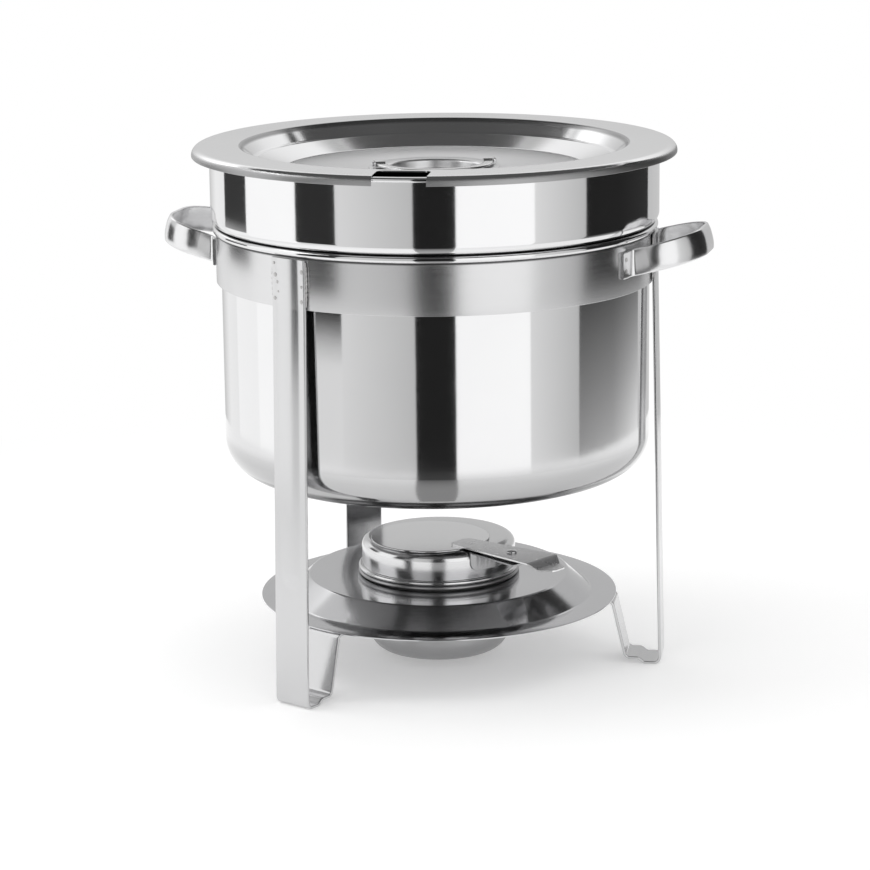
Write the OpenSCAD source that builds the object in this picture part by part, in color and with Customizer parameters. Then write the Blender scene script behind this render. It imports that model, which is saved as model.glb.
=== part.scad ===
// Round soup station: a covered soup insert hangs in a water pan, the pan hangs
// by its rolled rim in the hoop of a three-legged stand, and a fuel burner with
// a swinging snuffer stands in the plate below it.
// Millimetres. The stand rests on z = 0, the pans turn about the z axis, and the
// two side handles lie on the x axis, one of them nearly above a leg.

/* [Stand] */
// Height of the hoop's top edge above the floor
stand_h = 294; // [280:1:320]
// Height of the hoop band
hoop_h = 33; // [26:1:40]
// Thickness of the hoop band
hoop_t = 1.5; // [1:0.1:2.5]
// Width of a leg strap
leg_w = 27; // [24:1:32]
// Thickness of a leg strap
leg_t = 2; // [1.5:0.1:2.5]
// Outward lean of a leg below the hoop, in degrees
leg_splay = 1.2; // [0.5:0.1:3]
// Width of the rib pressed into a leg
rib_w = 17; // [12:1:19]
// Height of the rib above the strap
rib_h = 0.9; // [0.5:0.1:1.2]
// Height of the rib's round lower end above the floor
rib_end_h = 80; // [70:1:110]
// Length of a foot, from its outer face to its riser
foot_len = 25; // [23:0.5:34]
// Length of the low pad that a foot stands on
pad_len = 12; // [10:1:14]
// Step up from the pad to the inner end of a foot
joggle_h = 3; // [1:0.5:4]

/* [Side handles] */
// Width of a handle strap
handle_w = 17.5; // [14:0.5:20]
// Thickness of a handle strap
handle_t = 2; // [1.5:0.1:3]
// Outside width of a handle loop
handle_span = 84; // [76:1:92]
// Reach of a handle loop from the hoop
handle_reach = 46; // [40:0.5:52]
// Upward tilt of a handle loop, in degrees
handle_tilt = 14; // [8:0.5:20]
// Outside radius of a handle loop's corners
handle_corner_r = 33; // [24:1:36]
// Distance from the hoop's top edge down to a handle's weld tabs
handle_drop = 4.5; // [3:0.5:10]
// Length of a weld tab along the hoop
handle_tab_len = 12; // [8:1:18]

/* [Burner plate] */
// Diameter of the plate
plate_d = 241; // [235:1:255]
// Height of the rim's underside above the floor
plate_h = 43.5; // [40:0.5:55]
// Rise of the plate's flat top above its rim
plate_rise = 13.5; // [8:0.5:20]
// Width of the flat rim
plate_rim_w = 17; // [15:0.5:20]
// Width of the slope between rim and top, seen from above
plate_slope_w = 16; // [10:0.5:20]
// Thickness of the plate
plate_t = 0.9; // [0.7:0.1:1.2]

/* [Water pan] */
// Outside diameter of the water pan
pan_d = 284; // [278:1:296]
// Space between the snuffer's rivet and the water pan
burner_gap = 44.9; // [42:0.1:62]
// Radius of the corner round the pan's bottom
pan_corner_r = 24; // [14:1:32]
// Thickness of the sheet of the pans and the lid
sheet_t = 0.8; // [0.6:0.1:1]
// Diameter of the rolled rim
rim_bead = 4.4; // [4:0.1:5]

/* [Insert] */
// Height of the collar above the water pan
collar_h = 51; // [42:1:60]
// Radius of the shoulder round the collar's lower edge
shoulder_r = 7; // [3:0.5:8]
// Depth of the water between the floors of the water pan and the insert
water_gap = 25.6; // [20:0.2:55]
// Radius of the corner round the insert's bottom
insert_corner_r = 22; // [14:1:32]
// Width of the insert's top flange
insert_flange_w = 9; // [7:0.5:11]

/* [Lid] */
// Width of the lid's flat rim
lid_rim_w = 32; // [30:0.5:36]
// Height of the lid's down-turned lip
lip_h = 6; // [5:0.5:7]
// Depth of the ledge in the lid's recess
ledge_depth = 9.8; // [7:0.1:11]
// Width of the ledge
ledge_w = 3.5; // [3:0.1:5]
// Depth of the lid's floor below its rim
floor_depth = 16.5; // [14:0.1:19]
// Width of the wall above the ledge, seen from above
upper_wall_w = 7; // [4:0.5:9]
// Width of the wall below the ledge, seen from above
lower_wall_w = 17; // [10:0.5:20]
// Width of the ladle notch
notch_w = 34; // [24:1:40]
// Depth of the ladle notch
notch_depth = 27; // [24:0.5:28.5]

/* [Lid handle] */
// Inside diameter of the finger dish
dish_d = 64; // [54:1:68]
// Depth of the finger dish
dish_depth = 8; // [6:0.5:12]
// Width of the flange round the dish
dish_flange_w = 11.5; // [10.5:0.5:14]
// Width of the bail strip
bail_w = 6.5; // [5:0.1:7]
// Thickness of the bail strip
bail_t = 1.6; // [1.2:0.1:2]
// Diameter of the bail's pins
bail_pin_d = 1.8; // [1.4:0.1:2]

/* [Burner] */
// Outside diameter of the fuel cup
cup_d = 95; // [88:1:98]
// Height of the cup's bottom above the floor
cup_floor_h = 5; // [3:0.5:15]
// Radius of the corner round the cup's bottom
cup_corner_r = 13; // [8:1:18]
// Width of the cup's flange
cup_flange_w = 7; // [6:0.5:8]
// Thickness of the burner's sheet
burner_t = 0.8; // [0.6:0.1:1]
// Outside diameter of the cover's wall
cover_d = 104; // [103:0.5:106]
// Height of the cover
cover_h = 21.6; // [17:0.1:24]
// Radius of the cover's shoulder
cover_shoulder_r = 6; // [3:0.5:7]
// Diameter of the flame opening
flame_d = 56; // [50:1:58]

/* [Snuffer] */
// Diameter of the snuffer disc
disc_d = 80; // [78:1:86]
// Thickness of the snuffer disc
disc_t = 1; // [0.8:0.1:1.4]
// Width of the arm at its bend, and of its bracket
arm_w = 30; // [24:1:32]
// Width of the arm where it holds the disc
arm_root_w = 18; // [14:1:22]
// Width of the arm's finger tip
tip_w = 11; // [9:1:16]
// Thickness of the arm and its bracket
arm_t = 1.2; // [1:0.1:1.6]
// Distance from the burner's axis to the pivot rivet
pivot_r = 75; // [73:0.5:78]
// Diameter of the pivot rivet
rivet_d = 4; // [3:0.5:5]

/* [Hidden] */
$fn = 96;
// Segments in one rounded corner of an outline
arc_steps = 6;
// Segments round a rolled edge
bead_steps = 32;
// How far a cut runs past the faces that it opens
overrun = 2;
// Height of a cut through the whole model
through_h = 2 * stand_h;

// Finishes
satin = [0.78, 0.78, 0.79];
polished = [0.88, 0.88, 0.89];
shaded = [0.66, 0.66, 0.68];

// Clearances: welded faces, lift-off seats, sliding fits and pins
weld_gap = 0.05;
seat_gap = 0.3;
hoop_fit = 1.9;
insert_fit = 3;
lid_fit = 1.9;
cup_fit = 1;
neck_fit = 0.4;
dish_fit = 0.2;
pin_fit = 0.05;
rivet_fit = 0.05;
swing_gap = 0.2;

// Hoop and legs
hoop_r = pan_d / 2 + hoop_fit + hoop_t;
hoop_bottom = stand_h - hoop_h;
leg_turn = 6;
leg_angles = [leg_turn, leg_turn + 120, leg_turn + 240];
leg_top_drop = 1;
leg_top = stand_h - leg_top_drop;
leg_face_r = hoop_r + weld_gap + leg_t;
foot_r = leg_face_r + hoop_bottom * tan(leg_splay);
foot_bend_r = 5;
joggle_run = 4;
joggle_bend_r = 3;
riser_bend_r = 2;
riser_inset = 1.5;
weld_tab_len = 12;
plate_r = plate_d / 2;
riser_top_r = plate_r - riser_inset;
riser_top = plate_h - weld_gap - leg_t;
leg_path = [
    [leg_face_r, leg_top, 0],
    [leg_face_r, hoop_bottom, 0],
    [foot_r, 0, foot_bend_r],
    [foot_r - pad_len, 0, joggle_bend_r],
    [foot_r - pad_len - joggle_run, joggle_h, joggle_bend_r],
    [foot_r - foot_len, joggle_h, foot_bend_r],
    [riser_top_r, riser_top, riser_bend_r],
    [riser_top_r - weld_tab_len, riser_top, 0]];
rib_r = (rib_w * rib_w / 4 + rib_h * rib_h) / (2 * rib_h);
rib_run = (hoop_bottom - rib_end_h - rib_w / 2) / cos(leg_splay);

// Side handles
handle_z = stand_h - handle_drop - handle_w / 2;
handle_half = handle_span / 2;
handle_seat_r = hoop_r + weld_gap;
handle_root_r = sqrt(handle_seat_r * handle_seat_r - handle_half * handle_half);
handle_root_in = handle_w;
handle_loop = [
    [-handle_root_in, -handle_half, 0],
    [handle_reach, -handle_half, handle_corner_r],
    [handle_reach, handle_half, handle_corner_r],
    [-handle_root_in, handle_half, 0]];
handle_tab_start = asin((handle_half - handle_t) / handle_seat_r);
handle_tab_turn = handle_tab_len / handle_seat_r * 180 / PI;

// Burner plate
plate_bend_r = 2.5;
plate_rim_top = plate_h + plate_t;
plate_top = plate_rim_top + plate_rise;
plate_foot_r = plate_r - plate_rim_w;
plate_flat_r = plate_foot_r - plate_slope_w;
cup_r = cup_d / 2;
plate_hole_r = cup_r + cup_fit;

// Burner
cup_flange_r = cup_r + cup_flange_w;
cup_bend_r = 1.2;
cup_bead = 2.6;
cup_flange_z = plate_top + seat_gap;
cup_bead_top = cup_flange_z + cup_bead;
neck_h = 8;
cover_r = cover_d / 2;
neck_r = cover_r - burner_t - neck_fit;
cover_bottom = cup_bead_top + seat_gap;
cover_top = cover_bottom + cover_h;
cover_bead = 3;
cover_bead_z = cover_bottom + cover_bead / 2;
cover_roll_out = 0.9;

// Snuffer
arm_turn = 325;
swing_turn = 8;
disc_r = disc_d / 2;
disc_shift = 2.5;
disc_z = cover_top + seat_gap;
disc_top = disc_z + disc_t;
arm_top = disc_top + arm_t;
arm_lap = 15;
arm_in = disc_shift + disc_r - arm_lap;
arm_end = 26;
arm_out = pivot_r + arm_end;
arm_drop = 4;
arm_drop_run = 5;
arm_tip = 10;
arm_bend_r = 3;
arm_corner_r = 4;
tip_corner_r = 3;
arm_tip_r = arm_out + arm_drop_run + arm_tip;
bracket_end = 18;
bracket_skirt = 13;
bracket_corner_r = 5;
bracket_top = disc_z - swing_gap;
bracket_under = bracket_top - arm_t;
rivet_head_w = 1.5;
rivet_head_t = 1.4;
rivet_tail_w = 1.2;
rivet_tail_t = 1;
rivet_r = rivet_d / 2;
rivet_top = arm_top + swing_gap;
washer_w = 2.5;
washer_z = bracket_top + weld_gap;
washer_t = disc_top - swing_gap / 2 - washer_z;

// Water pan
pan_r = pan_d / 2;
pan_bottom = rivet_top + rivet_head_t + burner_gap;
rim_top = stand_h + seat_gap + rim_bead;
rim_under = rim_top - rim_bead / 2;
rim_bend_r = 1.2;
rim_r = hoop_r + rim_bead / 2;

// Insert
collar_overhang = 0.7;
collar_r = rim_r + collar_overhang;
insert_r = pan_r - sheet_t - insert_fit;
shoulder_in = hoop_r - collar_r + shoulder_r;
seat_r = shoulder_r + seat_gap + rim_bead / 2;
shoulder_z = rim_under + sqrt(seat_r * seat_r - shoulder_in * shoulder_in) - shoulder_r;
insert_bottom = pan_bottom + sheet_t + water_gap;
insert_top = shoulder_z + collar_h;
insert_bend_r = 2;
collar_seam_drop = 3;
collar_seam = shoulder_z - collar_seam_drop;
collar_foot_rise = 1;
collar_foot = shoulder_z + shoulder_r + collar_foot_rise;
flare_r = 4;
flange_bead = 3;
insert_flange_r = collar_r + insert_flange_w;

// Lid
lid_r = insert_flange_r + lid_fit + sheet_t;
lid_top = insert_top + seat_gap + sheet_t;
lip_bend_r = 3;
recess_r = lid_r - lid_rim_w;
recess_edge_r = 2;
ledge_bend_r = 1.5;
floor_bend_r = 4;
ledge_z = lid_top - ledge_depth;
floor_z = lid_top - floor_depth;
ledge_r = recess_r - upper_wall_w;
lower_wall_r = ledge_r - ledge_w;
floor_r = lower_wall_r - lower_wall_w;
notch_angle = 277;
notch_corner_r = 5;

// Lid handle
dish_r = dish_d / 2;
dish_t = 0.8;
dish_bend_r = 2;
dish_corner_r = 4;
dish_draft = 1.5;
dish_top = floor_z + weld_gap + dish_t;
dish_flange_r = dish_r + dish_flange_w;
dish_hole_r = dish_r + dish_bend_r + dish_fit;
bail_turn = 23;
bail_inset = 0.5;
bail_inner_r = dish_r + bail_inset;
bail_outer_r = bail_inner_r + bail_w;
barrel_wall = 0.9;
barrel_r = bail_pin_d / 2 + barrel_wall;
bail_axis_z = dish_top + seat_gap + barrel_r;
ear_t = 1.2;
ear_gap = 0.3;
ear_w = 7;
ear_crown = 2.2;
ear_r = bail_outer_r + ear_gap;
pin_inset = 1;
pin_head_t = 0.7;
pin_head_d = 3.2;

// Outlines: a path is a list of [x, y, corner radius]

// Unit vector from a to b
function heading(a, b) = (b - a) / norm(b - a);

// First two values of a path point
function place(p) = [p.x, p.y];

// Points of the round corner at b, on the way from a to c
function corner(a, b, c, r) =
    let (back = heading(b, a), on = heading(b, c))
    let (half = acos(back * on) / 2, turn = 180 - 2 * half)
    let (centre = b + (back + on) / norm(back + on) * r / sin(half))
    let (first = b + back * r / tan(half) - centre, last = b + on * r / tan(half) - centre)
    [for (i = [0 : arc_steps])
        let (angle = turn * i / arc_steps)
        centre + (first * sin(turn - angle) + last * sin(angle)) / sin(turn)];

// The path with its corners rounded
function rounded(path) = [for (i = [0 : len(path) - 1])
    each path[i].z == 0
        ? [place(path[i])]
        : corner(place(path[i - 1]), place(path[i]), place(path[i + 1]), path[i].z)];

// The points of a line, moved sideways by t to the left of its direction
function beside(line, t) =
    let (last = len(line) - 1)
    [for (i = [0 : last])
        let (u = heading(line[max(i - 1, 0)], line[max(i, 1)]))
        let (v = heading(line[min(i, last - 1)], line[min(i + 1, last)]))
        line[i] + [-u.y - v.y, u.x + v.x] * t / (1 + u * v)];

// The points of a line in the other order
function reversed(line) = [for (i = [len(line) - 1 : -1 : 0]) line[i]];

// Section of a bent sheet: the path is one face, and the sheet lies to its left
function sheet(path, t) = concat(rounded(path), reversed(beside(rounded(path), t)));

// A bent strip of sheet metal, its path in x and z, its width along y
module strip(path, t, w) {
    rotate([90, 0, 0]) linear_extrude(height = w, center = true) polygon(sheet(path, t));
}

// A spun or pressed sheet, its path in radius and height
module spun(path, t) {
    rotate_extrude() polygon(sheet(path, t));
}

// A rolled edge: a round bead of diameter d about the radius r
module bead(r, z, d) {
    rotate_extrude() translate([r, z]) circle(d = d, $fn = bead_steps);
}

// A tube wall of outside radius r
module tube(r, t, h) {
    difference() {
        cylinder(r = r, h = h);
        translate([0, 0, -overrun]) cylinder(r = r - t, h = h + 2 * overrun);
    }
}

// A flat plate of thickness t, its closed path in x and y
module plate(path, t) {
    linear_extrude(height = t) polygon(rounded(path));
}

// A block of length l along x, its closed path in y and z
module block(path, l) {
    rotate([90, 0, 90]) linear_extrude(height = l) polygon(rounded(path));
}

// Stand

module stand_hoop() {
    color(satin) translate([0, 0, hoop_bottom]) tube(hoop_r, hoop_t, hoop_h);
}

// The round tool that a leg's rib is pressed with, its crown a given depth inside the rib's crown
module rib_tool(depth) {
    translate([leg_face_r + rib_h - rib_r - depth, 0, hoop_bottom]) {
        cylinder(r = rib_r, h = hoop_h);
        rotate([0, 180 - leg_splay, 0]) {
            cylinder(r = rib_r, h = rib_run);
            translate([0, 0, rib_run]) sphere(r = rib_r);
        }
    }
}

// The outer strap of a leg with room for its rib, from a given depth inside its face
module rib_zone(depth) {
    strip([
        [leg_face_r - depth, leg_top, 0],
        [leg_face_r - depth, hoop_bottom, 0],
        [foot_r - depth - rib_end_h / 2 * tan(leg_splay), rib_end_h / 2, 0]], depth + 2 * rib_h, leg_w);
}

module leg(angle) {
    color(satin) rotate(angle) difference() {
        union() {
            strip(leg_path, -leg_t, leg_w);
            intersection() {
                rib_zone(leg_t / 2);
                rib_tool(0);
            }
        }
        intersection() {
            rib_zone(2 * leg_t);
            rib_tool(leg_t);
        }
    }
}

module leg_right() {
    leg(leg_angles[0]);
}

module leg_rear() {
    leg(leg_angles[1]);
}

module leg_front() {
    leg(leg_angles[2]);
}

// A side handle: a strap loop, tilted up, with two tabs welded to the hoop
module side_handle() {
    color(satin) {
        difference() {
            translate([handle_root_r, 0, handle_z]) rotate([0, -handle_tilt, 0])
                linear_extrude(height = handle_w, center = true) polygon(sheet(handle_loop, handle_t));
            cylinder(r = handle_seat_r, h = through_h);
        }
        for (side = [0, 1]) mirror([0, side, 0]) rotate(handle_tab_start)
            rotate_extrude(angle = handle_tab_turn)
                translate([handle_seat_r, handle_z - handle_w / 2]) square([handle_t, handle_w]);
    }
}

module handle_right() {
    side_handle();
}

module handle_left() {
    rotate(180) side_handle();
}

module burner_plate() {
    color(polished) spun([
        [plate_hole_r, plate_top, 0],
        [plate_flat_r, plate_top, plate_bend_r],
        [plate_foot_r, plate_rim_top, plate_bend_r],
        [plate_r, plate_rim_top, 0]], -plate_t);
}

// Pans

module water_pan() {
    color(polished) {
        spun([
            [0, pan_bottom, 0],
            [pan_r, pan_bottom, pan_corner_r],
            [pan_r, rim_under, rim_bend_r],
            [hoop_r, rim_under, 0]], sheet_t);
        bead(hoop_r, rim_under, rim_bead);
    }
}

module insert_bowl() {
    color(polished) spun([
        [0, insert_bottom, 0],
        [insert_r, insert_bottom, insert_corner_r],
        [insert_r, collar_seam - weld_gap, 0]], sheet_t);
}

module insert_shoulder() {
    color(polished) spun([
        [insert_r, collar_seam, 0],
        [insert_r, shoulder_z, insert_bend_r],
        [collar_r, shoulder_z, shoulder_r],
        [collar_r, collar_foot - weld_gap, 0]], sheet_t);
}

module insert_collar() {
    color(polished) {
        spun([
            [collar_r, collar_foot, 0],
            [collar_r, insert_top - sheet_t, flare_r],
            [insert_flange_r - flange_bead / 2, insert_top - sheet_t, 0]], sheet_t);
        bead(insert_flange_r - flange_bead / 2, insert_top - flange_bead / 2, flange_bead);
    }
}

// Lid

// The ladle notch, its inner corners rounded
module notch() {
    rotate(notch_angle) translate([0, 0, lid_top - lip_h - overrun]) plate([
        [lid_r + overrun, -notch_w / 2, 0],
        [lid_r + overrun, notch_w / 2, 0],
        [lid_r - notch_depth, notch_w / 2, notch_corner_r],
        [lid_r - notch_depth, -notch_w / 2, notch_corner_r],
        [lid_r + overrun, -notch_w / 2, 0]], lip_h + 2 * overrun);
}

module lid() {
    color(satin) difference() {
        spun([
            [lid_r, lid_top - lip_h, 0],
            [lid_r, lid_top, lip_bend_r],
            [recess_r, lid_top, recess_edge_r],
            [ledge_r, ledge_z, ledge_bend_r],
            [lower_wall_r, ledge_z, ledge_bend_r],
            [floor_r, floor_z, floor_bend_r],
            [dish_hole_r, floor_z, 0]], sheet_t);
        notch();
    }
}

module lid_dish() {
    color(satin) spun([
        [dish_flange_r, dish_top, 0],
        [dish_r, dish_top, dish_bend_r],
        [dish_r - dish_draft, dish_top - dish_depth, dish_corner_r],
        [0, dish_top - dish_depth, 0]], dish_t);
}

// Both ends of the bail's axis, with the axis along x and outwards
module bail_ends() {
    rotate(bail_turn) for (end = [0, 180]) rotate(end) children();
}

module bail_ears() {
    color(satin) bail_ends() difference() {
        union() {
            translate([ear_r, -ear_w / 2, dish_top + weld_gap])
                cube([ear_t, ear_w, bail_axis_z - dish_top - weld_gap]);
            translate([ear_r, 0, bail_axis_z]) rotate([0, 90, 0]) intersection() {
                cylinder(r = ear_w / 2, h = ear_t);
                translate([-ear_crown, -ear_w / 2, 0]) cube([ear_crown, ear_w, ear_t]);
            }
        }
        translate([ear_r - overrun, 0, bail_axis_z]) rotate([0, 90, 0])
            cylinder(d = bail_pin_d + 2 * pin_fit, h = ear_t + 2 * overrun);
    }
}

module bail_pins() {
    pin_r = bail_inner_r + pin_inset;
    pin_len = ear_r + ear_t + weld_gap - pin_r;
    color(shaded) bail_ends() translate([pin_r, 0, bail_axis_z]) rotate([0, 90, 0]) {
        cylinder(d = bail_pin_d, h = pin_len);
        translate([0, 0, pin_len]) cylinder(d = pin_head_d, h = pin_head_t);
    }
}

module lid_bail() {
    color(polished) difference() {
        union() {
            rotate(bail_turn + 180) rotate_extrude(angle = 180)
                translate([bail_inner_r, bail_axis_z - bail_t / 2]) square([bail_w, bail_t]);
            bail_ends() translate([bail_inner_r, 0, bail_axis_z]) rotate([0, 90, 0])
                cylinder(r = barrel_r, h = bail_w);
        }
        bail_ends() translate([bail_inner_r - overrun, 0, bail_axis_z]) rotate([0, 90, 0])
            cylinder(d = bail_pin_d + 2 * pin_fit, h = bail_w + 2 * overrun);
    }
}

// Burner

module burner_cup() {
    color(satin) {
        spun([
            [0, cup_floor_h, 0],
            [cup_r, cup_floor_h, cup_corner_r],
            [cup_r, cup_flange_z, cup_bend_r],
            [cup_flange_r - cup_bead / 2, cup_flange_z, 0]], burner_t);
        bead(cup_flange_r - cup_bead / 2, cup_flange_z + cup_bead / 2, cup_bead);
        translate([0, 0, cup_flange_z]) tube(neck_r, burner_t, neck_h);
    }
}

module burner_cover() {
    color(polished) {
        spun([
            [cover_r, cover_bead_z, 0],
            [cover_r, cover_top, cover_shoulder_r],
            [flame_d / 2, cover_top, 0]], burner_t);
        bead(cover_r + cover_roll_out, cover_bead_z, cover_bead);
    }
}

// Snuffer

module snuffer_bracket() {
    skirt_bottom = bracket_top - bracket_skirt;
    color(shaded) rotate(arm_turn) difference() {
        intersection() {
            union() {
                translate([0, 0, skirt_bottom]) tube(cover_r + weld_gap + arm_t, arm_t, bracket_skirt);
                translate([cover_r, -arm_w / 2, bracket_under])
                    cube([pivot_r + bracket_end - cover_r, arm_w, arm_t]);
            }
            block([
                [-arm_w / 2, bracket_top, 0],
                [-arm_w / 2, skirt_bottom, bracket_corner_r],
                [arm_w / 2, skirt_bottom, bracket_corner_r],
                [arm_w / 2, bracket_top, 0]], pivot_r + bracket_end);
        }
        translate([pivot_r, 0, 0]) cylinder(r = rivet_r + rivet_fit, h = through_h);
        cylinder(r = cover_r + weld_gap, h = through_h);
    }
}

module snuffer_rivet() {
    color(shaded) rotate(arm_turn) translate([pivot_r, 0, 0]) {
        translate([0, 0, bracket_under - rivet_tail_t])
            cylinder(r = rivet_r + rivet_tail_w, h = rivet_tail_t);
        translate([0, 0, bracket_under - rivet_tail_t])
            cylinder(r = rivet_r, h = rivet_top - bracket_under + rivet_tail_t);
        translate([0, 0, rivet_top]) cylinder(r = rivet_r + rivet_head_w, h = rivet_head_t);
    }
}

module snuffer_washer() {
    color(shaded) rotate(arm_turn) translate([pivot_r, 0, washer_z])
        tube(rivet_r + rivet_fit + washer_w, washer_w, washer_t);
}

// The arm and its disc, turned about the rivet to where they rest
module swung() {
    rotate(arm_turn) translate([pivot_r, 0, 0]) rotate(swing_turn) translate([-pivot_r, 0, 0]) children();
}

// The arm's outline from above: it widens from its round inner corners, and its tip tapers
module arm_outline() {
    plate([
        [arm_out, arm_w / 2, 0],
        [arm_in, arm_root_w / 2, arm_corner_r],
        [arm_in, -arm_root_w / 2, arm_corner_r],
        [arm_out, -arm_w / 2, 0],
        [arm_tip_r, -tip_w / 2, tip_corner_r],
        [arm_tip_r, tip_w / 2, tip_corner_r],
        [arm_out, arm_w / 2, 0]], through_h);
}

module snuffer_arm() {
    color(polished) swung() difference() {
        intersection() {
            strip([
                [arm_in, disc_top, 0],
                [arm_out, disc_top, arm_bend_r],
                [arm_out + arm_drop_run, disc_top - arm_drop, arm_bend_r],
                [arm_tip_r, disc_top - arm_drop, 0]], arm_t, arm_w);
            arm_outline();
        }
        translate([pivot_r, 0, 0]) cylinder(r = rivet_r + rivet_fit, h = through_h);
    }
}

module snuffer_disc() {
    color(polished) swung() translate([disc_shift, 0, disc_z]) cylinder(r = disc_r, h = disc_t);
}

stand_hoop();
leg_right();
leg_rear();
leg_front();
handle_right();
handle_left();
burner_plate();
water_pan();
insert_bowl();
insert_shoulder();
insert_collar();
lid();
lid_dish();
bail_ears();
bail_pins();
lid_bail();
burner_cup();
burner_cover();
snuffer_bracket();
snuffer_rivet();
snuffer_washer();
snuffer_arm();
snuffer_disc();
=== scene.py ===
import bmesh
import bpy
import numpy as np
from mathutils import Matrix, Vector


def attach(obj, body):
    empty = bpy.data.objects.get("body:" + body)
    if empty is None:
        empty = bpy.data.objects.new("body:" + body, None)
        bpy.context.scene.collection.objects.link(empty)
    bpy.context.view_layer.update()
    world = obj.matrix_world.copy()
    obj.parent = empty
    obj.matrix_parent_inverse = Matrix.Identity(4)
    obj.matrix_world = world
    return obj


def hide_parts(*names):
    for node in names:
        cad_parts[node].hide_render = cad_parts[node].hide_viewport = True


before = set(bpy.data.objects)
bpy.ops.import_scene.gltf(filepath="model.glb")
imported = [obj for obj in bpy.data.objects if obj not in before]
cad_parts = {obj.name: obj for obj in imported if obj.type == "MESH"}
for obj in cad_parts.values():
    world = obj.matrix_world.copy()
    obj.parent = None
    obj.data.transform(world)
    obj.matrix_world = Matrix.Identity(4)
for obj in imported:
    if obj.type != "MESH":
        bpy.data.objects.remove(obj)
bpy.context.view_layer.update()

# Stand hoop
# A band of satin stainless steel, rolled into a ring and butt welded. It carries the
# water pan by its rim, and the legs and side handles are welded to its outside.


def rounded(path, turn=6, guard=0.4):
    """Points of a line of (x, y, corner radius). A corner of radius r is the arc about
    the point r from both lines, a point every `turn` degrees, between two guard points."""
    path = np.asarray(path, float)
    points = []
    for i, r in enumerate(path[:, 2]):
        here = path[i, :2]
        if r == 0:
            points.append(here[None])
            continue
        back, on = path[i - 1, :2] - here, path[(i + 1) % len(path), :2] - here
        back, on = back / np.linalg.norm(back), on / np.linalg.norm(on)
        half = np.arccos(back @ on) / 2
        reach, sweep = r / np.tan(half), np.pi - 2 * half
        centre = here + (back + on) / np.linalg.norm(back + on) * r / np.sin(half)
        a = np.linspace(0, sweep, max(4, int(np.degrees(sweep) / turn) + 2))[:, None]
        first, last = here + back * reach - centre, here + on * reach - centre
        points.append(centre + (first * np.sin(sweep - a) + last * np.sin(a)) / np.sin(sweep))
        if guard:
            points.insert(-1, (here + back * (reach + guard))[None])
            points.append((here + on * (reach + guard))[None])
    return np.vstack(points)


def leftward(line):
    """At each point of a line, the mitre vector to its left that moves both its sides by 1."""
    step = np.diff(line, axis=0)
    step /= np.linalg.norm(step, axis=1)[:, None]
    before, after = np.vstack([step[:1], step]), np.vstack([step, step[-1:]])
    both = before + after
    return np.stack([-both[:, 1], both[:, 0]], 1) / (1 + (before * after).sum(1))[:, None]


def sheet(path, t, edge=0.25, bead=None):
    """Closed section of a bent sheet: the path is one face and the other lies t to its left.
    Raw ends get edges of radius `edge`; a bead (r, z, radius, from, to) closes the last end."""
    line = rounded(path)
    other = (line + leftward(line) * t)[::-1]
    radii = np.zeros(len(line))
    if line[0, 0] > 0:
        radii[0] = edge
    if bead is None:
        radii[-1] = edge
        loop = np.vstack([np.column_stack([line, radii]), np.column_stack([other, radii[::-1]])])
    else:
        r, z, size, first, last = bead
        a = np.radians(np.linspace(first, last, 36))
        roll = np.stack([r + size * np.cos(a), z + size * np.sin(a), 0 * a], 1)
        loop = np.vstack([np.column_stack([line, radii]), roll, np.column_stack([other, radii[::-1]])])
    return rounded(loop, turn=30, guard=0)


def cells(rows, columns, wrap_rows=True, wrap_columns=True):
    """The four-sided faces of a grid of points, closed on itself in either direction."""
    i, j = np.indices((rows - (not wrap_rows), columns - (not wrap_columns))).reshape(2, -1)
    k, m = (i + 1) % rows, (j + 1) % columns
    return np.stack([i * columns + j, i * columns + m, k * columns + m, k * columns + j], 1)


def turned(section, parts=288):
    """A closed section of (r, z) carried round the z axis: x = r cos a, y = r sin a."""
    a = np.linspace(0, 2 * np.pi, parts, endpoint=False)
    r, z = section[:, :1], section[:, 1:2]
    points = np.stack([r * np.cos(a), r * np.sin(a), z + 0 * a], -1)
    faces = cells(len(section), parts)
    on_axis = (np.abs(section[:, 0]) < 1e-6)[faces // parts]
    return points.reshape(-1, 3), faces[~on_axis.all(1)]


def piece(name, body, slot, finish, nodes, *shells, sharp=32):
    """Puts shells of points in millimetres and their faces into one mesh that stands for nodes."""
    points, faces, count = [], [], 0
    for shell_points, shell_faces in shells:
        points.append(shell_points)
        faces += (np.asarray(shell_faces) + count).tolist()
        count += len(shell_points)
    mesh = bpy.data.meshes.new(name)
    mesh.from_pydata(np.vstack(points) * 0.001, [], faces)
    form = bmesh.new()
    form.from_mesh(mesh)
    bmesh.ops.remove_doubles(form, verts=form.verts, dist=1e-6)
    bmesh.ops.delete(form, geom=[e for e in form.edges if not e.link_faces], context="EDGES")
    bmesh.ops.recalc_face_normals(form, faces=form.faces)
    form.to_mesh(mesh)
    form.free()
    mesh.shade_smooth()
    mesh.set_sharp_from_angle(angle=np.radians(sharp))
    made = bpy.data.objects.new(name, mesh)
    bpy.context.scene.collection.objects.link(made)
    mesh.materials.append(finish)
    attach(made, body)
    if nodes:
        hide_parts(*nodes)
    return made


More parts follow.
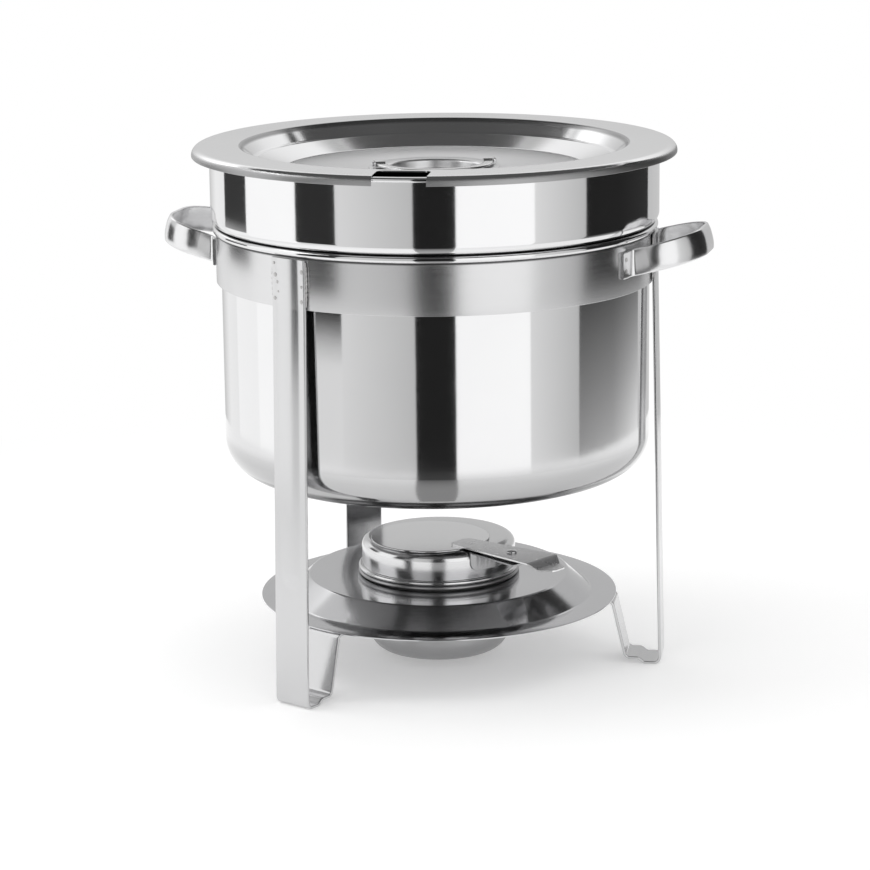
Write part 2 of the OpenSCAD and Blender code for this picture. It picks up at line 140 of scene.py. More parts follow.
class Wire:
    """One output of a shader node. An operator on it adds one Math node."""

    def __init__(self, recipe, socket):
        self.recipe, self.socket = recipe, socket

    def maths(self, operation, *values):
        return self.recipe.node("ShaderNodeMath", {"operation": operation}, dict(enumerate(values)))

    def __add__(self, other):
        return self.maths("ADD", self, other)

    def __radd__(self, other):
        return self.maths("ADD", other, self)

    def __sub__(self, other):
        return self.maths("SUBTRACT", self, other)

    def __rsub__(self, other):
        return self.maths("SUBTRACT", other, self)

    def __mul__(self, other):
        return self.maths("MULTIPLY", self, other)

    def __rmul__(self, other):
        return self.maths("MULTIPLY", other, self)

    def __truediv__(self, other):
        return self.maths("DIVIDE", self, other)

    def __pow__(self, other):
        return self.maths("POWER", self, other)


class Recipe:
    """A material's node tree, with one way to add a node to it."""

    def __init__(self, owner):
        owner.use_nodes = True
        self.owner, self.tree = owner, owner.node_tree
        self.tree.nodes.clear()

    def node(self, kind, settings=None, inputs=None, output=0):
        made = self.tree.nodes.new(kind)
        for key, value in (settings or {}).items():
            if key == "stops":
                ramp = made.color_ramp.elements
                while len(ramp) < len(value):
                    ramp.new(0.5)
                while len(ramp) > len(value):
                    ramp.remove(ramp[-1])
                for stop, (place, colour) in zip(ramp, value):
                    stop.position, stop.color = place, colour
            else:
                setattr(made, key, value)
        for key, value in (inputs or {}).items():
            if isinstance(value, Wire):
                self.tree.links.new(value.socket, made.inputs[key])
            else:
                made.inputs[key].default_value = value
        return Wire(self, made.outputs[output]) if made.outputs else None


def steel(name, colour, rough, grain, grain_depth, smudge=0.05, wave=0.0, changes=()):
    """Stainless steel: a metal whose grain runs as `grain` stretches the noise, with faint
    smudges in its roughness, a slow change of tint, and slow waves left by the forming. Each
    change of ("r" or "z", places, rougher, darker) sets in between two radii or heights in
    metres, and ends again between two more."""
    recipe = Recipe(bpy.data.materials.new(name))
    node = recipe.node
    place = node("ShaderNodeTexCoord", output=3)
    axes = node("ShaderNodeSeparateXYZ", inputs={0: place})
    x, y, z = (Wire(recipe, axes.socket.node.outputs[i]) for i in range(3))
    r = (x * x + y * y + 1e-6) ** 0.5
    if grain == "round":
        along = node("ShaderNodeCombineXYZ", inputs={0: x / r * 1.5, 1: y / r * 1.5, 2: z * 1500.0})
        lines = node("ShaderNodeTexNoise", {"noise_dimensions": "4D"},
                     {"Vector": along, "W": r * 1500.0, "Scale": 1.0, "Detail": 3.0})
    else:
        stretch = node("ShaderNodeVectorMath", {"operation": "MULTIPLY"}, {0: place, 1: grain})
        lines = node("ShaderNodeTexNoise", inputs={"Vector": stretch, "Scale": 1.0, "Detail": 3.0})
    cloud = node("ShaderNodeTexNoise",
                 inputs={"Vector": place, "Scale": 14.0, "Detail": 4.0, "Roughness": 0.6})
    print_marks = node("ShaderNodeTexNoise",
                       inputs={"Vector": place, "Scale": 55.0, "Detail": 2.0, "Distortion": 0.6})
    dim, bright = (*[c * 0.965 for c in colour], 1), (*[min(1, c * 1.03) for c in colour], 1)
    tint = node("ShaderNodeMix", {"data_type": "RGBA"}, {"Factor": cloud, "A": dim, "B": bright}, output=2)
    gloss = rough + (lines - 0.5) * (rough * 0.5) + (cloud * print_marks) * smudge
    for axis, places, rougher, darker in changes:
        ends = [node("ShaderNodeMapRange", {"interpolation_type": "SMOOTHSTEP"},
                     {"Value": r if axis == "r" else z, "From Min": places[i], "From Max": places[j]})
                for i, j in ((0, 1), (3, 2))[:len(places) // 2]]
        on = ends[0] * (ends[1] if places[2:] else 1.0)
        gloss = gloss + on * rougher
        tint = node("ShaderNodeMix", {"data_type": "RGBA", "blend_type": "MULTIPLY"},
                    {"Factor": on, "A": tint, "B": (1 - darker, 1 - darker, 1 - darker, 1)}, output=2)
    height = lines * grain_depth + cloud * wave
    bump = node("ShaderNodeBump", inputs={"Strength": 1.0, "Distance": 1.0, "Height": height})
    metal = node("ShaderNodeBsdfPrincipled",
                 inputs={"Base Color": tint, "Metallic": 1.0, "Roughness": gloss, "Normal": bump})
    node("ShaderNodeOutputMaterial", inputs={"Surface": metal})
    return recipe.owner


# The band's top edge, under the pan's rolled rim, is a little rougher and painted dark: painted shade under
# the rim.
satin_band = steel("satin_band", (0.67, 0.67, 0.675), 0.22, "round", 0.0000035,
                   changes=[("z", (0.2926, 0.2936), 0.1, 0.8)])
hoop_r, hoop_t, hoop_low, hoop_top = 145.4, 1.5, 261.0, 294.0
hoop = sheet([(hoop_r, hoop_low, 0), (hoop_r, hoop_top, 0)], hoop_t)
piece("hoop_band", "stand", "stand_steel", satin_band, ["stand_hoop"], turned(hoop))

# Legs
# Three straps of satin sheet, each pressed with a shallow rib down its face and bent round
# at the floor into a foot and back up, to a tab that is welded under the burner plate.
leg_w, leg_t, leg_top, leg_face, foot_r = 27.0, 2.0, 293.0, 147.45, 152.92
rib_half, rib_h, rib_low = 8.5, 0.55, 88.5
satin_strap = steel("satin_strap", (0.63, 0.63, 0.635), 0.17, (900.0, 900.0, 14.0), 0.000004)


def strap_section(width, t, edge, across=30):
    """Loop of (place across the width, depth below the face) round a strap with round edges."""
    half = width / 2
    face = np.linspace(-half + edge, half - edge, across)
    a = np.radians(np.linspace(90, 0, 5))
    near = np.stack([half - edge + edge * np.cos(a), edge - edge * np.sin(a)], 1)
    far = near[::-1] * [1, -1] + [0, t]
    side = np.vstack([near, far])
    return np.vstack([np.stack([face, 0 * face], 1)[1:-1], side,
                      np.stack([face[::-1], 0 * face + t], 1)[1:-1], side[::-1] * [-1, 1]])


def finer(line, most):
    """The line with points added, so that no step along it is longer than `most`."""
    run = np.r_[0, np.cumsum(np.linalg.norm(np.diff(line, axis=0), axis=1))]
    counts = np.maximum(1, np.ceil(np.diff(run) / most)).astype(int)
    steps = [np.linspace(a, b, n, endpoint=False) for a, b, n in zip(run, run[1:], counts)]
    at = np.concatenate([*steps, run[-1:]])
    return np.stack([np.interp(at, run, line[:, 0]), np.interp(at, run, line[:, 1])], 1)


def swept(points):
    """Faces of a closed section carried along an open path, points[path, section], with flat ends."""
    rows, columns = points.shape[:2]
    faces = cells(rows, columns, False, True).tolist()
    half = columns // 2
    i = np.arange(half - 1)
    cap = np.stack([i, i + 1, columns - 2 - i, columns - 1 - i], 1)
    return points.reshape(-1, 3), faces + cap.tolist() + (cap + (rows - 1) * columns).tolist()


def leg(angle):
    """Path point minus depth times its outward normal, plus the rib: h (1 - (q / half)^2)^1.4,
    where q is the distance from the rib's middle line, which ends in a half circle."""
    line = finer(rounded([
        (leg_face, leg_top, 0), (leg_face, hoop_low, 40), (foot_r, 0, 5), (foot_r - 12, 0, 3),
        (foot_r - 16, 3, 3), (foot_r - 25, 3, 5), (119.0, 41.45, 2), (107.0, 41.45, 0)]), 3)
    across, depth = strap_section(leg_w, leg_t, 0.5).T
    q2 = across[None] ** 2 + np.minimum(line[:, 1:2] - rib_low, 0) ** 2
    outer = line[:, :1] > foot_r - 12
    rib = rib_h * np.clip(1 - q2 / rib_half**2, 0, 1) ** 1.4 * outer
    flat = line[:, None] + leftward(line)[:, None] * (rib - depth)[..., None]
    a = np.radians(angle)
    points = np.stack([flat[..., 0] * np.cos(a) - across * np.sin(a),
                       flat[..., 0] * np.sin(a) + across * np.cos(a), flat[..., 1]], -1)
    return swept(points)


for name, angle in (("right", 6), ("rear", 126), ("front", 246)):
    piece("leg_strap_" + name, "stand", "stand_steel", satin_strap, ["leg_" + name], leg(angle))

# Leg welds
# A thin bead of weld runs down both edges of each leg's top, where it meets the hoop, and
# spot welds leave shallow round marks near the edges of its face.
weld_grey = steel("weld_grey", (0.55, 0.545, 0.54), 0.3, (300.0, 300.0, 300.0), 0.00002, 0.1)


def weld_bead(angle, side):
    """A lumpy round bead up the hoop: its radius swells and shrinks with the height and runs out
    at both ends."""
    z = np.linspace(hoop_low + 2, leg_top - 1.5, 90)
    lump = 0.95 + 0.18 * np.sin(z * 1.9 + side) + 0.12 * np.sin(z * 4.3 + angle)
    size = (lump * np.sqrt(np.sin(np.pi * (z - z[0] + 0.3) / (z[-1] - z[0] + 0.6))))[:, None]
    turn = np.linspace(0, 2 * np.pi, 16, endpoint=False)
    out, across = hoop_r + 0.5 + size * np.cos(turn), side * (leg_w / 2 + 0.15) + size * np.sin(turn)
    c, s = np.cos(np.radians(angle)), np.sin(np.radians(angle))
    return swept(np.stack([out * c - across * s, out * s + across * c, z[:, None] + 0 * out], -1))


def spot_mark(angle, across, z, r, size=1.7, rise=0.1):
    """A shallow lens on a face that looks along the bearing `angle`, r from the axis."""
    lens = np.array([[0, -0.3], [size, -0.3], [size, 0], [0.7 * size, 0.7 * rise], [0, rise]])
    points, faces = turned(lens, 24)
    c, s = np.cos(np.radians(angle)), np.sin(np.radians(angle))
    out, side = r + points[:, 2], across + points[:, 0]
    return np.stack([out * c - side * s, out * s + side * c, z + points[:, 1]], 1), faces


for name, angle in (("right", 6), ("rear", 126), ("front", 246)):
    marks = [spot_mark(angle, across, z, leg_face, size) for across, z, size in (
        (-11.4, 289.5, 1.1), (-10.6, 282.0, 1.5), (-8.9, 277.5, 1.2), (-8.2, 271.5, 1.0), (-11.2, 267.0, 1.4),
        (11.3, 285.5, 1.5), (11.0, 276.0, 1.1), (10.8, 266.5, 1.4))]
    beads = [weld_bead(angle, side) for side in (-1, 1)]
    piece("leg_weld_" + name, "stand", "stand_steel", weld_grey, [], *beads, *marks)

# Side handles
# Flat straps with a crowned face and soft edges for the hand, bent into loops that tilt up.
# Each ends in two short tabs that follow the hoop and are welded to it.
grip_w, grip_t, grip_crown, grip_z, grip_tilt = 17.5, 2.0, 1.3, 280.75, np.radians(14)
grip_reach, grip_half, grip_corner, tab_r = 46.0, 42.0, 33.0, 147.45
grip_root = np.sqrt(145.45**2 - grip_half**2)
polished_strap = steel("polished_strap", (0.75, 0.75, 0.755), 0.19, (260.0, 260.0, 260.0), 0.000001, 0.05)


def side_handle(turn):
    """The strap's plan line, moved inwards by its depth and crown, c (place across / half)^2.6.
    It is turned up about the root line, by an angle that grows from zero at the tabs."""
    tab = np.radians([-20.75, -19.4, -18.0])
    start = [(tab_r * np.cos(a), tab_r * np.sin(a), 0) for a in tab]
    bend = np.sqrt(tab_r**2 - grip_half**2)
    one = start + [(bend, -grip_half, 3), (grip_root + grip_reach, -grip_half, grip_corner)]
    plan = np.array(one + [(x, -y, r) for x, y, r in one[::-1]])
    line = finer(rounded(plan), 2.5)
    across, depth = strap_section(grip_w, grip_t, 0.8, 18).T
    free = np.clip((line[:, :1] - bend - 1) / 12, 0, 1)
    sunk = depth + free * grip_crown * np.abs(across / (grip_w / 2)) ** 2.6
    flat = line[:, None] + leftward(line)[:, None] * sunk[..., None]
    out = np.maximum(flat[..., 0] - grip_root, 0)
    twist = grip_tilt * np.clip((out - 2) / 9, 0, 1)
    x = np.where(out > 0, grip_root + out * np.cos(grip_tilt), flat[..., 0]) - across * np.sin(twist)
    z = grip_z + out * np.sin(grip_tilt) + across * np.cos(twist)
    c, s = np.cos(turn), np.sin(turn)
    return swept(np.stack([x * c - flat[..., 1] * s, x * s + flat[..., 1] * c, z], -1))


for name, turn in (("right", 0.0), ("left", np.pi)):
    piece("handle_strap_" + name, "stand", "stand_steel", polished_strap, ["handle_" + name],
          side_handle(turn))
    marks = [spot_mark(np.degrees(turn) + side * 19.45, 0, grip_z + z, tab_r, 1.6)
             for side in (-1, 1) for z in (-3.7, 3.7)]
    piece("handle_weld_" + name, "stand", "stand_steel", weld_grey, [], *marks)

# Burner plate
# A round plate pressed up into a flat top with a sloping ring round it, polished on top.
# The burner's cup hangs in the hole in its middle.
# The plate's steel is painted darker than the other parts: painted shade, for the plate lying under the pan.
spun_plate = steel("spun_plate", (0.62, 0.62, 0.63), 0.12, "round", 0.0000015, 0.06, 0.00004)
plate_hole, plate_r, plate_top, plate_edge, plate_t = 48.5, 120.5, 57.9, 44.4, 0.9
slope_top_r, slope_low_r, slope_bend = 87.5, 103.5, 2.5
plate = sheet([(plate_hole, plate_top, 0), (slope_top_r, plate_top, slope_bend),
               (slope_low_r, plate_edge, slope_bend), (plate_r, plate_edge, 0)], -plate_t)
piece("burner_plate_pressing", "stand", "plate_steel", spun_plate, ["burner_plate"], turned(plate))

# Burner cup
# A drawn cup that holds the fuel. It hangs in the plate by a rolled flange, and a short
# neck inside the flange locates the cover.
# The cup's steel is painted much darker than the rest: painted shade, for the cup hanging under the plate.
drawn_cup = steel("drawn_cup", (0.42, 0.42, 0.425), 0.3, "round", 0.000002, 0.06)
cup_r, cup_low, cup_corner, flange_z, flange_r, pan_t = 47.5, 5, 13, 58.2, 52.0, 0.8
neck_r, neck_low, neck_top = 50.8, 58.6, 66.2
cup = sheet([(0, cup_low, 0), (cup_r, cup_low, cup_corner), (cup_r, flange_z, 1.2), (flange_r, flange_z, 0)],
            pan_t, bead=(53.2, 59.5, 1.3, -110, 170))
neck = sheet([(neck_r, neck_low, 0), (neck_r, neck_top, 0)], pan_t)
piece("fuel_cup", "burner", "burner_steel", drawn_cup, ["burner_cup"], turned(cup, 192), turned(neck, 192))

# Burner cover
# A polished cover with a round shoulder and the flame opening in its top. Its lower edge
# is rolled outwards and rests on the cup's flange.
polished_cover = steel("polished_cover", (0.72, 0.72, 0.725), 0.16, "round", 0.000001, 0.05, 0.00002)
cover_low, cover_top, cover_r, cover_corner, flame_r = 61.1, 82.7, 52, 6, 28
cover = sheet([(flame_r, cover_top, 0), (cover_r, cover_top, cover_corner), (cover_r, cover_low + 2.9, 0)],
              -pan_t, bead=(52.9, cover_low + 1.5, 1.5, 130, -230))
piece("cover_ring", "burner_cover", "burner_steel", polished_cover, ["burner_cover"], turned(cover, 192))

# Snuffer bracket, washer and rivet
# A bent tab on the cover's wall carries the snuffer's arm. A rivet with a domed head holds
# the arm on it, with a washer between that lets the disc pass over the tab.
arm_turn, pivot_r, disc_z = np.radians(325), 75.0, 83.0
dull_tab = steel("dull_tab", (0.7, 0.7, 0.71), 0.16, (500.0, 500.0, 500.0), 0.000002)


def swung(points, turn=0.0):
    """Points turned about the rivet, and then about the burner's axis to the side of the rivet."""
    c, s = np.cos(turn), np.sin(turn)
    x, y = points[:, 0] - pivot_r, points[:, 1]
    x, y = pivot_r + x * c - y * s, x * s + y * c
    c, s = np.cos(arm_turn), np.sin(arm_turn)
    return np.stack([x * c - y * s, x * s + y * c, points[:, 2]], 1)


def dressed(node, name, body, finish, edge):
    """A copy of a node's own solid, its triangles joined again and its sharp edges softened."""
    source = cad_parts[node].data
    form = bmesh.new()
    form.from_mesh(source)
    bmesh.ops.remove_doubles(form, verts=form.verts, dist=1e-6)
    bmesh.ops.dissolve_limit(form, angle_limit=np.radians(0.6), verts=form.verts, edges=form.edges)
    mesh = bpy.data.meshes.new(name)
    form.to_mesh(mesh)
    form.free()
    mesh.shade_smooth()
    mesh.set_sharp_from_angle(angle=np.radians(32))
    mesh.materials.clear()
    mesh.materials.append(finish)
    made = bpy.data.objects.new(name, mesh)
    bpy.context.scene.collection.objects.link(made)
    soften = made.modifiers.new("soft_edges", "BEVEL")
    soften.width, soften.segments, soften.limit_method = edge, 2, "ANGLE"
    soften.angle_limit, soften.harden_normals = np.radians(40), True
    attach(made, body)
    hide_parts(node)


# The bracket's steel is a darker copy of the washer's and rivet's: painted shade under the arm.
painted_shade_tab = steel("painted_shade_tab", (0.4, 0.4, 0.405), 0.2, (500.0, 500.0, 500.0), 0.000002)
dressed("snuffer_bracket", "bracket_tab", "burner_cover", painted_shade_tab, 0.0002)
washer_hole, washer_r, washer_z, washer_t = 2.05, 4.55, 82.85, 1.05
washer = sheet([(washer_hole, washer_z, 0), (washer_r, washer_z, 0)], washer_t)
points, faces = turned(washer, 48)
points = swung(points + [pivot_r, 0, 0])
piece("spacing_washer", "burner_cover", "rivet_steel", dull_tab, ["snuffer_washer"], (points, faces))
rivet = rounded([(0, 80.6, 0), (3.2, 80.6, 0.8), (3.2, 81.6, 0), (2.0, 81.6, 0), (2.0, 85.4, 0),
                 (3.5, 85.4, 0), (3.4, 86.2, 0.7), (0, 86.8, 0)], 10, 0)
points, faces = turned(rivet, 48)
points = swung(points + [pivot_r, 0, 0])
piece("pivot_rivet", "burner_cover", "rivet_steel", dull_tab, ["snuffer_rivet"], (points, faces))

# Snuffer arm and disc
# The disc covers the flame opening. It is welded under a flat arm, which turns on the rivet
# and has a bent tip to push it with a finger.
bright_arm = steel("bright_arm", (0.78, 0.78, 0.785), 0.12, (500.0, 500.0, 500.0), 0.000002)
satin_arm = steel("satin_arm", (0.82, 0.82, 0.825), 0.24, (500.0, 500.0, 500.0), 0.000002)
dressed("snuffer_arm", "arm_strip", "snuffer", satin_arm, 0.0002)
disc_r, disc_top, disc_shift, swing_turn = 40, disc_z + 1, 2.5, np.radians(8)
disc = rounded([(0, disc_z, 0), (disc_r, disc_z, 0.4), (disc_r, disc_top, 0.45), (0, disc_top, 0)], 12)
points, faces = turned(disc, 192)
points = swung(points + [disc_shift, 0, 0], swing_turn)
piece("snuffer_plate", "snuffer", "burner_steel", bright_arm, ["snuffer_disc"], (points, faces))

# Water pan
# A deep drawn pan, mirror polished outside, that hangs in the hoop by its rolled rim and
# holds hot water under the insert.
# Towards its foot and underside the pan is rougher and darker: partly a duller base, and partly painted shade
# for the shadowed floor and plate that the foot mirrors.
mirror_pan = steel("mirror_pan", (0.77, 0.77, 0.775), 0.055, "round", 0.0000004, 0.05, 0.00003,
                   [("z", (0.162, 0.15), 0.03, 0.34), ("z", (0.1405, 0.138), 0.1, 0.6)])
pan_r, pan_low, pan_corner, rim_z, rim_r, rim_bead = 142, 131.7, 24, 296.5, 145.4, 2.2
pan = sheet([(0, pan_low, 0), (pan_r, pan_low, pan_corner), (pan_r, rim_z, 0.8), (143.25, rim_z, 0)],
            pan_t, bead=(rim_r, rim_z, rim_bead, -180, 158))
piece("pan_shell", "water_pan", "pan_steel", mirror_pan, ["water_pan"], turned(pan, 360))

# Insert
# The soup container. Its body hangs inside the water pan, its rounded shoulder sits on the
# pan's rim, and the mirror polished collar above ends in a rolled flange under the lid.
bowl_r, bowl_low, bowl_corner = 138.2, 158.1, 22
collar_r, collar_top, collar_corner, shoulder_z, shoulder_corner = 148.3, 348.27, 4, 298.07, 7
insert = sheet([(0, bowl_low, 0), (bowl_r, bowl_low, bowl_corner), (bowl_r, shoulder_z, 2),
                (collar_r, shoulder_z, shoulder_corner), (collar_r, collar_top, collar_corner),
                (154.47, collar_top, 0)], pan_t, bead=(155.8, 347.57, 1.5, 152, 450))
# The shoulder and the foot of the collar, where they sit on the pan's rim, are rougher and painted dark:
# painted shade in the crevice between the two parts.
mirror_insert = steel("mirror_insert", (0.79, 0.79, 0.795), 0.055, "round", 0.0000004, 0.05, 0.00003,
                      [("z", (0.3006, 0.2993, 0.2972, 0.296), 0.2, 0.88)])
piece("insert_shell", "insert", "pan_steel", mirror_insert,
      ["insert_bowl", "insert_shoulder", "insert_collar"], turned(insert, 360))

# Lid
# A pressed lid with a turned-down lip, a stepped recess and a flat floor. A notch cut into
# its rim lets a ladle's handle out.
lid_top, lid_r = 350.17, 159.9
# The lip is rougher and painted darker, and a narrow ring at the top of the recess's wall is painted darker:
# painted shade, standing in for the darker reflections there. The floor inside the recess is only rougher.
brushed_lid = steel("brushed_lid", (0.8, 0.8, 0.805), 0.1, "round", 0.000001, 0.06, 0.00003,
                    [("r", (0.158, 0.1596), 0.3, 0.5), ("r", (0.1015, 0.0985), 0.22, 0.0),
                     ("r", (0.1253, 0.1266, 0.1284, 0.1292), 0.08, 0.6)])
ledge, floor_z = lid_top - 9.8, lid_top - 16.5
lid = sheet([(lid_r, lid_top - 6, 0), (lid_r, lid_top, 5.2), (lid_r - 32, lid_top, 2),
             (lid_r - 39, ledge, 1.5), (lid_r - 42.5, ledge, 1.5), (lid_r - 59.5, floor_z, 4),
             (34.2, floor_z, 0)], pan_t)
lid_piece = piece("lid_pressing", "lid", "lid_steel", brushed_lid, ["lid"], turned(lid, 360))
notch_at = np.radians(277)
notch_half, notch_deep, notch_corner, beyond = 17, 132.9, 5, 165
cut = rounded([(beyond, -notch_half, 0), (beyond, notch_half, 0), (notch_deep, notch_half, notch_corner),
               (notch_deep, -notch_half, notch_corner)], 8, 0)
c, s = np.cos(notch_at), np.sin(notch_at)
cut = np.stack([cut[:, 0] * c - cut[:, 1] * s, cut[:, 0] * s + cut[:, 1] * c], 1)
ring = len(cut)
prism = np.vstack([np.column_stack([cut, 0 * cut[:, 0] + h]) for h in (335, 360)]) * 0.001
ends = [list(range(ring))[::-1], list(range(ring, 2 * ring))]
cutter_mesh = bpy.data.meshes.new("notch_cutter")
cutter_mesh.from_pydata(prism, [], ends + cells(2, ring, False, True).tolist())
cutter = bpy.data.objects.new("notch_cutter", cutter_mesh)
bpy.context.scene.collection.objects.link(cutter)
notch = lid_piece.modifiers.new("notch", "BOOLEAN")
notch.operation, notch.solver, notch.object = "DIFFERENCE", "EXACT", cutter
bpy.context.view_layer.update()
lid_mesh = bpy.data.meshes.new_from_object(lid_piece.evaluated_get(bpy.context.evaluated_depsgraph_get()))
lid_piece.modifiers.clear()
lid_piece.data = lid_mesh
bpy.data.objects.remove(cutter)
lid_mesh.set_sharp_from_angle(angle=np.radians(32))

# Lid handle
# A pressed finger dish welded into the lid's floor, with two ears that hold the pins of a
# half-ring bail. The bail lies flat on the dish's flange and folds over to either side.
dish_top = 334.52
bail_turn, bail_z = np.radians(23), 336.62
dish_low, well_r, flange_in, dish_r = dish_top - 8, 30.5, 32, 43.5
dish = sheet([(0, dish_low, 0), (well_r, dish_low, 4), (flange_in, dish_top, 2), (dish_r, dish_top, 0)],
             -pan_t)
piece("finger_dish", "lid", "lid_steel", brushed_lid, ["lid_dish"], turned(dish, 192))
dressed("bail_ears", "bail_lugs", "lid", satin_arm, 0.00025)
dressed("bail_pins", "bail_pivots", "lid", dull_tab, 0.0002)


def bail():
    """A rounded strip section carried half way round the dish: x = r cos a, y = r sin a."""
    a = np.linspace(np.pi, 2 * np.pi, 97) + bail_turn
    across, depth = strap_section(6.5, 1.6, 0.7, 8).T
    r, z = 35.75 + across, bail_z + 0.8 - depth
    return swept(np.stack([np.outer(np.cos(a), r), np.outer(np.sin(a), r), z + 0 * np.outer(a, r)], -1))


def barrel(side):
    """A short tube about the bail's axis, round its pin."""
    wall = sheet([(1.8, 32.5, 0), (1.8, 39, 0)], 0.85)
    points, faces = turned(wall, 40)
    along = np.stack([points[:, 2], points[:, 0], points[:, 1]], 1) * [side, side, 1] + [0, 0, bail_z]
    c, s = np.cos(bail_turn), np.sin(bail_turn)
    x, y, z = along.T
    return np.stack([x * c - y * s, x * s + y * c, z], 1), faces


piece("bail_strip", "bail", "lid_steel", bright_arm, ["lid_bail"], bail(), barrel(1), barrel(-1))

# Studio floor
# A pale table top. Its colour lights up to white for the camera away from the object, and
# keeps the soft shadow under it.
shot_turn = np.radians(15)


def flat_card(name, corners, finish):
    """A stage card from rows of corner points in metres, in the camera's own bearing."""
    rows, columns = corners.shape[:2]
    c, s = np.cos(shot_turn), np.sin(shot_turn)
    x, y = corners[..., 0] * c - corners[..., 1] * s, corners[..., 0] * s + corners[..., 1] * c
    mesh = bpy.data.meshes.new(name)
    points = np.stack([x, y, corners[..., 2]], -1).reshape(-1, 3)
    mesh.from_pydata(points, [], cells(rows, columns, False, False).tolist())
    mesh.materials.append(finish)
    made = bpy.data.objects.new(name, mesh)
    bpy.context.scene.collection.objects.link(made)
    return made


recipe = Recipe(bpy.data.materials.new("table_top"))
node = recipe.node
place = node("ShaderNodeTexCoord", output=3)
distance = node("ShaderNodeVectorMath", {"operation": "LENGTH"}, {0: place}, output=1)
far = node("ShaderNodeMapRange", {"interpolation_type": "SMOOTHSTEP"},
           {"Value": distance, "From Min": 0.28, "From Max": 0.75})
speckle = node("ShaderNodeTexNoise", inputs={"Vector": place, "Scale": 300.0})
paper = node("ShaderNodeMix", {"data_type": "RGBA"},
             {"Factor": speckle, "A": (0.86, 0.86, 0.86, 1), "B": (0.88, 0.88, 0.88, 1)}, output=2)
matt = node("ShaderNodeBsdfDiffuse", inputs={"Color": paper})
glow = node("ShaderNodeEmission", inputs={"Color": (1, 1, 1, 1), "Strength": 0.26})
lit = node("ShaderNodeAddShader", inputs={0: matt, 1: glow})
white = node("ShaderNodeEmission", inputs={"Color": (1, 1, 1, 1), "Strength": 1.0})
mixed = node("ShaderNodeMixShader", inputs={0: far, 1: lit, 2: white})
node("ShaderNodeOutputMaterial", inputs={"Surface": mixed})
corners = np.array([[[-6, -6, 0], [-6, 6, 0]], [[6, -6, 0], [6, 6, 0]]], float)
flat_card("table", corners, recipe.owner)

# Reflection cards
# White, grey and black cards that stand round the object, for its polished faces to mirror,
# and a dark one above it. Only mirrored rays see them.
recipe = Recipe(bpy.data.materials.new("card_glow"))
glow = recipe.node("ShaderNodeAttribute", {"attribute_name": "glow"})
lit = recipe.node("ShaderNodeEmission", inputs={"Color": glow, "Strength": 1.0})
recipe.node("ShaderNodeOutputMaterial", inputs={"Surface": lit})
card_glow = recipe.owner


def mirrored_card(name, corners, level):
    """A stage card that only mirrored rays meet, with its brightness at each of its points."""
    card = flat_card(name, corners, card_glow)
    card.data.attributes.new("glow", "FLOAT", "POINT").data.foreach_set("value", level.ravel())
    card.visible_camera = card.visible_diffuse = card.visible_shadow = False
    card.visible_transmission = card.visible_volume_scatter = False


def standing_card(name, bearings, levels, heights=(0.0, 0.95), rise=(1.0, 1.0), r=0.78):
    """A wall on part of a circle: x = r sin b, y = -r cos b, for bearings b from the camera in
    degrees. Its brightness runs through the levels along it, times the rise up its heights."""
    b = np.linspace(bearings[0], bearings[-1], 24)
    z = np.unique(np.r_[np.linspace(0, 0.95, 20), heights])
    level = np.outer(np.interp(z, heights, rise), np.interp(b, bearings, levels))
    b, z = np.radians(b)[None], z[:, None]
    mirrored_card(name, np.stack([r * np.sin(b) + 0 * z, -r * np.cos(b) + 0 * z, z + 0 * b], -1), level)


standing_card("card_left", (-102, -67.8), (1.18, 1.2))
standing_card("card_left_dark", (-67.8, -46.5), (1.0, 1.0),
              (0.09, 0.11, 0.122, 0.135), (0.85, 0.55, 0.25, 0.03))
standing_card("card_front_left", (-46.5, -10), (0.82, 0.6))
standing_card("card_camera", (-10, 9.1), (0.015, 0.015))
standing_card("card_front_right", (9.1, 46.2), (1.18, 1.2))
standing_card("card_right", (46.2, 74.7), (0.84, 0.58))
standing_card("card_right_dark", (74.7, 100, 128.7), (1.0, 1.3, 2.4),
              (0.0, 0.06, 0.12, 0.17), (0.38, 0.23, 0.11, 0.015))
standing_card("card_back", (128.7, 205, 222, 235.6), (1.0, 1.0, 1.6, 1.6),
              (0.25, 0.3, 0.45, 0.55, 0.65, 0.85, 0.93), (0.62, 0.62, 0.66, 0.78, 0.95, 1.1, 0.4))
standing_card("card_back_left", (235.6, 258), (1.0, 1.0), (0.17, 0.2, 0.36, 0.42), (1.1, 0.045, 0.045, 0.76))
bearing, reach = np.meshgrid(np.radians(np.linspace(0, 360, 49)), np.linspace(0, 1.05, 6), indexing="ij")
ceiling = np.stack([reach * np.sin(bearing), -reach * np.cos(bearing), 1.22 + 0 * reach], -1)
mirrored_card("card_above", ceiling, 0.085 + 0 * reach)
bearing, reach = np.meshgrid(np.radians(np.linspace(-10, 9.1, 5)), np.linspace(0.13, 0.78, 14), indexing="ij")
path = np.stack([reach * np.sin(bearing), -reach * np.cos(bearing), 0.003 + 0 * reach], -1)
mirrored_card("card_path", path, np.interp(reach, (0.3, 0.78), (0.42, 0.05)))

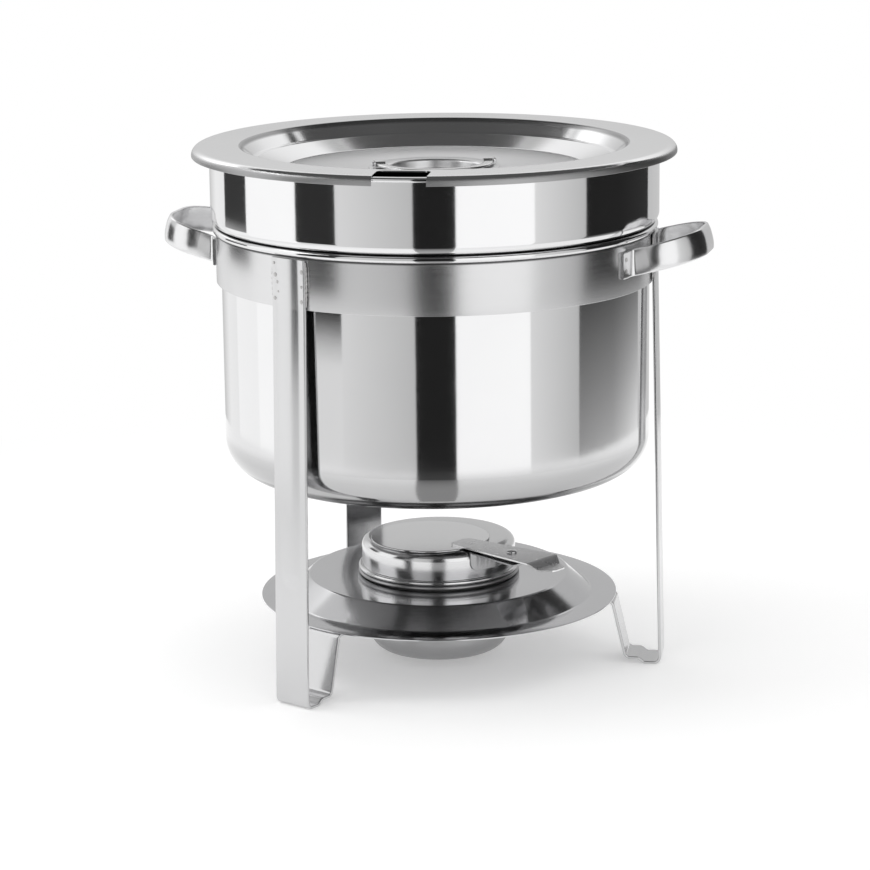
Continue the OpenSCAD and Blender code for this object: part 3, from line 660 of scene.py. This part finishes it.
# Lamps and surroundings
# A large soft lamp high on the left, a weak one on the right, and an even white room.
world = bpy.data.worlds.new("studio")
bpy.context.scene.world = world
recipe = Recipe(world)
node = recipe.node
path = node("ShaderNodeLightPath")
kinds = path.socket.node.outputs
glossy, through = (Wire(recipe, kinds[name]) for name in ("Is Glossy Ray", "Is Transmission Ray"))
room = node("ShaderNodeBackground", inputs={"Color": (1, 1, 1, 1), "Strength": 0.9})
white = node("ShaderNodeBackground", inputs={"Color": (1, 1, 1, 1), "Strength": 1.0})
whole = node("ShaderNodeMixShader", inputs={0: path + glossy + through, 1: room, 2: white})
node("ShaderNodeOutputWorld", inputs={"Surface": whole})


def soft_lamp(name, bearing, height, distance, width, depth, power):
    """A rectangular lamp that looks at the lid's middle from a bearing and a height in degrees."""
    b, h = np.radians(bearing), np.radians(height)
    out = np.array([np.cos(h) * np.sin(b), -np.cos(h) * np.cos(b), np.sin(h)])
    turn = Matrix.Rotation(shot_turn, 3, "Z")
    data = bpy.data.lights.new(name, "AREA")
    data.shape, data.size, data.size_y, data.energy = "RECTANGLE", width, depth, power
    lamp = bpy.data.objects.new(name, data)
    bpy.context.scene.collection.objects.link(lamp)
    away = turn @ Vector(out)
    lamp.location = away * distance + Vector((0, 0, 0.3))
    lamp.rotation_mode = "QUATERNION"
    lamp.rotation_quaternion = away.to_track_quat("Z", "Y")


soft_lamp("lamp_left", -86, 42, 1.3, 0.75, 0.45, 3.2)
soft_lamp("lamp_right", 48, 52, 1.3, 0.6, 0.4, 0.35)

# Camera
# A long lens a little above the lid, turned to the front leg's side of the stand.
shot = bpy.data.cameras.new("shot")
shot.sensor_width, shot.lens = 36.0, 124.8
camera = bpy.data.objects.new("shot", shot)
bpy.context.scene.collection.objects.link(camera)
pitch, roll = np.radians(13.172), np.radians(0.65)
place = Matrix.Rotation(shot_turn, 4, "Z") @ Matrix.Translation((-0.0016, -1.979, 0.615))
camera.matrix_world = place @ Matrix.Rotation(np.pi / 2 - pitch, 4, "X") @ Matrix.Rotation(-roll, 4, "Z")
shot.clip_end = 50
bpy.context.scene.camera = camera
bpy.context.scene.view_settings.view_transform = "Standard"
